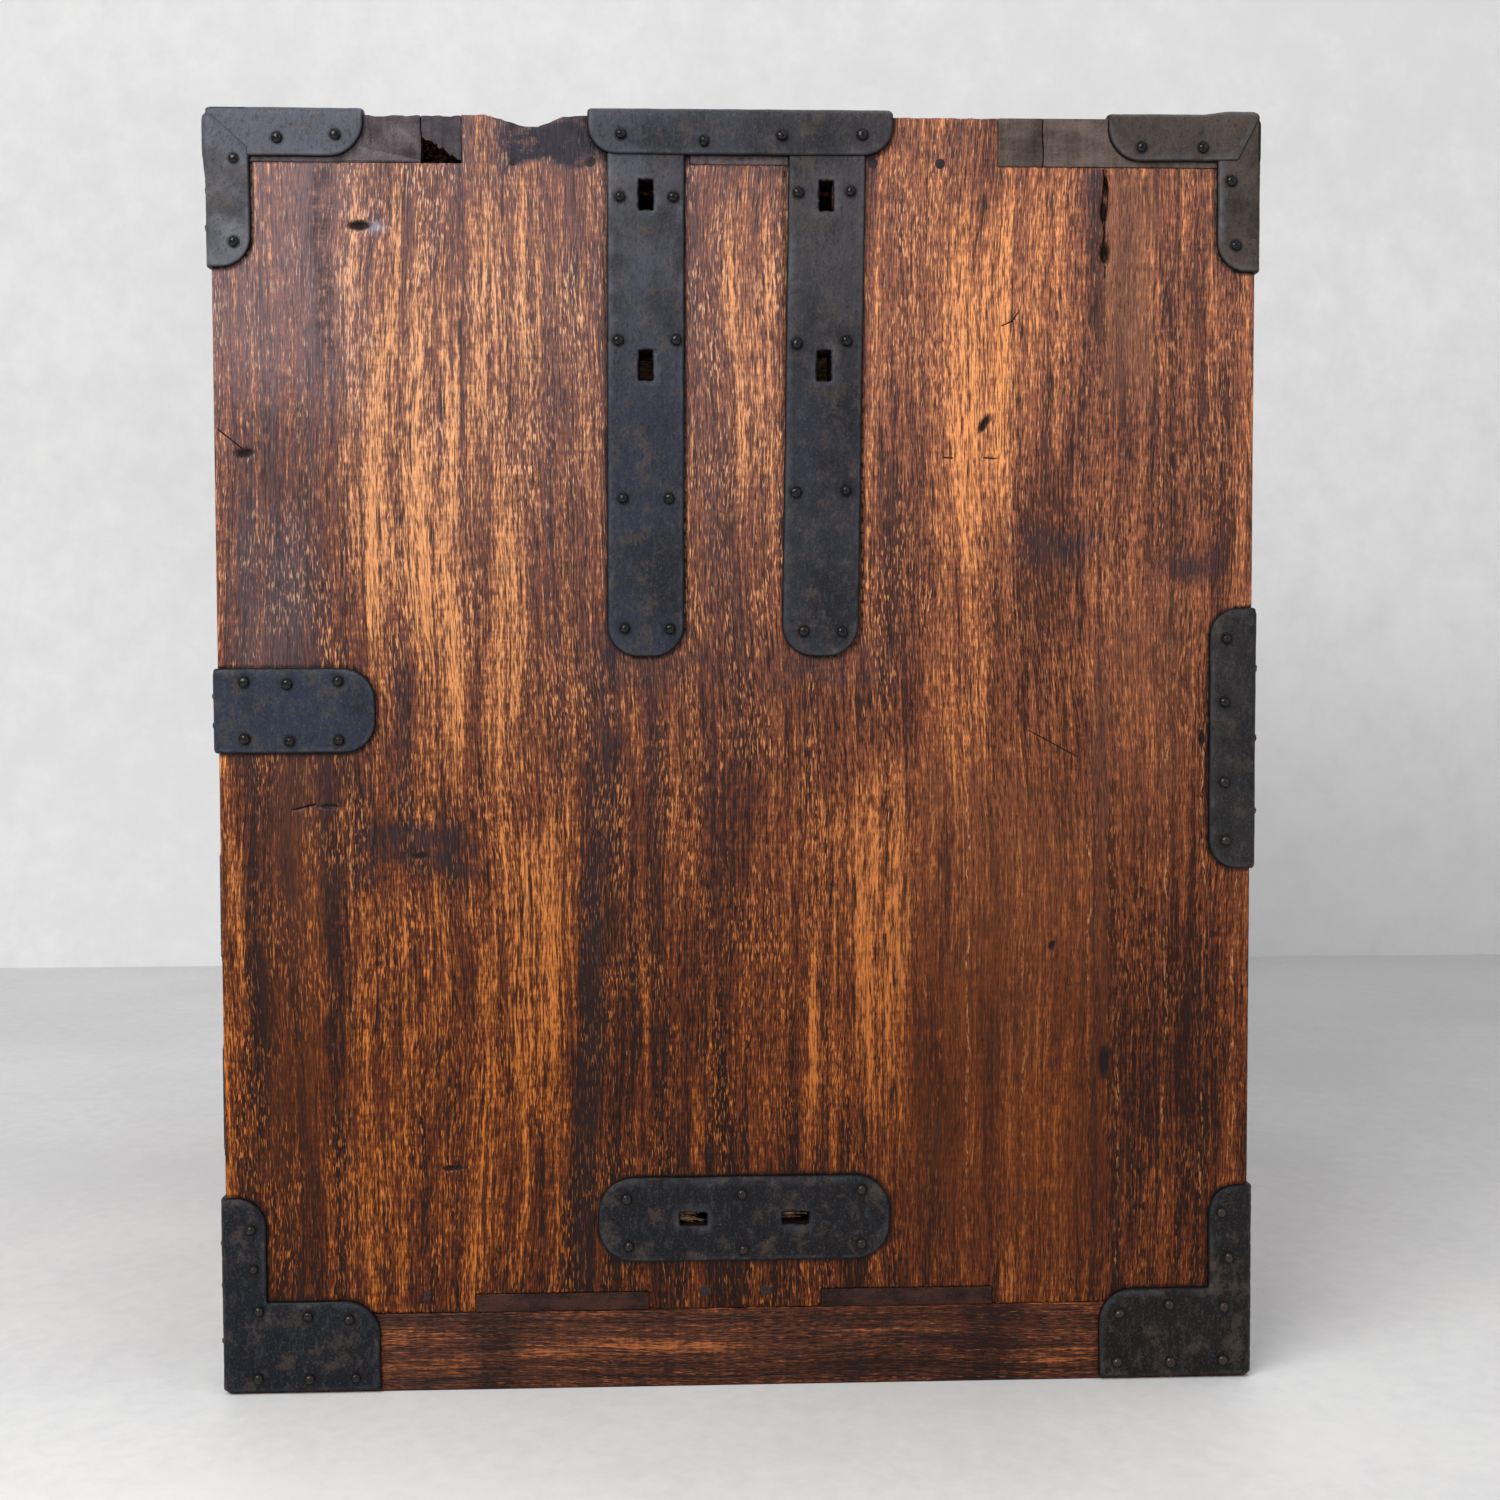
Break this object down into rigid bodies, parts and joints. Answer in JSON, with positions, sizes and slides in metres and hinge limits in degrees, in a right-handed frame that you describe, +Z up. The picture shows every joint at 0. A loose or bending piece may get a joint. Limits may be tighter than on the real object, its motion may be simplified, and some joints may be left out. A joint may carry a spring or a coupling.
{
  "type": "funa dansu ship chest",
  "caption": "Wooden ship chest with black iron corner mounts, straps and nails, full-width upper drawer, stacked lower drawers and a hinged safe door.",
  "frame": {"origin": "centre of the bounding box on the floor plane, under the middle of the case", "axes": "+Z up; front with the drawers and door towards -Y; +X to the right side seen from the front"},
  "size_m": [0.6074, 0.469, 0.5647],
  "materials": {
    "case_wood": "worn lacquer over open grain",
    "front_wood": "worn lacquer over open grain",
    "drawer_wood": "bare, planed",
    "peg_wood": "dark end grain",
    "black_iron": "forged, blackened, satin"
  },
  "bodies": {
    "carcase": {"back_base_rail": "case_wood", "back_planks": "case_wood", "bottom_board": "case_wood", "frame_hinge_leaves": "black_iron", "frame_hinge_pins_and_nails": "black_iron", "front_base_rail": "case_wood", "left_back_edge_bracket": "black_iron", "left_base_rail": "case_wood", "left_corner_irons": "black_iron", "left_lower_plate": "black_iron", "left_mid_band": "black_iron", "left_saddle_plate": "black_iron", "left_side_board": "case_wood", "left_side_nails": "black_iron", "left_straps": "black_iron", "lower_divider": "case_wood", "lower_shelf": "case_wood", "mid_shelf": "case_wood", "right_back_edge_bracket": "black_iron", "right_back_strap": "black_iron", "right_base_rail": "case_wood", "right_bottom_back_corner_iron": "black_iron", "right_bottom_front_corner_iron": "black_iron", "right_front_strap": "black_iron", "right_lower_plate": "black_iron", "right_mid_band": "black_iron", "right_saddle_plate": "black_iron", "right_side_board": "case_wood", "right_side_nails": "black_iron", "right_top_back_corner_iron": "black_iron", "right_top_front_corner_iron": "black_iron", "top_board": "case_wood", "wooden_pegs": "peg_wood"},
    "safe_door": {"door_hinge_leaves": "black_iron", "safe_door_fasteners": "black_iron", "safe_door_irons": "black_iron", "safe_door_panel": "front_wood"},
    "lower_drawer_bail": {"lower_drawer_bail": "black_iron"},
    "lower_drawer": {"lower_drawer_bottom": "drawer_wood", "lower_drawer_fasteners": "black_iron", "lower_drawer_front": "front_wood", "lower_drawer_irons": "black_iron", "lower_drawer_walls": "drawer_wood"},
    "middle_drawer_bail": {"middle_drawer_bail": "black_iron"},
    "middle_drawer": {"middle_drawer_bottom": "drawer_wood", "middle_drawer_fasteners": "black_iron", "middle_drawer_front": "front_wood", "middle_drawer_irons": "black_iron", "middle_drawer_walls": "drawer_wood"},
    "safe_door_bail": {"safe_door_bail": "black_iron"},
    "top_drawer": {"top_drawer_bottom": "drawer_wood", "top_drawer_fasteners": "black_iron", "top_drawer_front": "front_wood", "top_drawer_irons": "black_iron", "top_drawer_lock_case": "black_iron", "top_drawer_walls": "drawer_wood"},
    "top_drawer_left_bail": {"top_drawer_left_bail": "black_iron"},
    "lock_bolt": {"top_drawer_lock_bolt": "black_iron"},
    "top_drawer_right_bail": {"top_drawer_right_bail": "black_iron"}
  },
  "joints": [
    {"name": "top_drawer_slide", "type": "slide", "parent": "carcase", "child": "top_drawer", "axis": [0, -1, 0], "range_m": [0, 0.33]},
    {"name": "middle_drawer_slide", "type": "slide", "parent": "carcase", "child": "middle_drawer", "axis": [0, -1, 0], "range_m": [0, 0.33]},
    {"name": "lower_drawer_slide", "type": "slide", "parent": "carcase", "child": "lower_drawer", "axis": [0, -1, 0], "range_m": [0, 0.33]},
    {"name": "safe_door_hinge", "type": "hinge", "parent": "carcase", "child": "safe_door", "pos_m": [0.28, -0.2304, 0.1715], "axis": [0, 0, 1], "range_deg": [0, 170]},
    {"name": "top_drawer_left_bail_swing", "type": "hinge", "parent": "top_drawer", "child": "top_drawer_left_bail", "pos_m": [-0.1501, -0.2345, 0.4419], "axis": [-1, 0, 0], "range_deg": [-4, 120]},
    {"name": "top_drawer_right_bail_swing", "type": "hinge", "parent": "top_drawer", "child": "top_drawer_right_bail", "pos_m": [0.1501, -0.2345, 0.4419], "axis": [-1, 0, 0], "range_deg": [-4, 120]},
    {"name": "middle_drawer_bail_swing", "type": "hinge", "parent": "middle_drawer", "child": "middle_drawer_bail", "pos_m": [-0.134, -0.2345, 0.2395], "axis": [-1, 0, 0], "range_deg": [-4, 120]},
    {"name": "lower_drawer_bail_swing", "type": "hinge", "parent": "lower_drawer", "child": "lower_drawer_bail", "pos_m": [-0.134, -0.2345, 0.112], "axis": [-1, 0, 0], "range_deg": [-4, 120]},
    {"name": "safe_door_bail_swing", "type": "hinge", "parent": "safe_door", "child": "safe_door_bail", "pos_m": [0.162, -0.2345, 0.1915], "axis": [-1, 0, 0], "range_deg": [-4, 120]},
    {"name": "lock_bolt_slide", "type": "slide", "parent": "top_drawer", "child": "lock_bolt", "axis": [0, 0, 1], "range_m": [0, 0.007]}
  ]
}
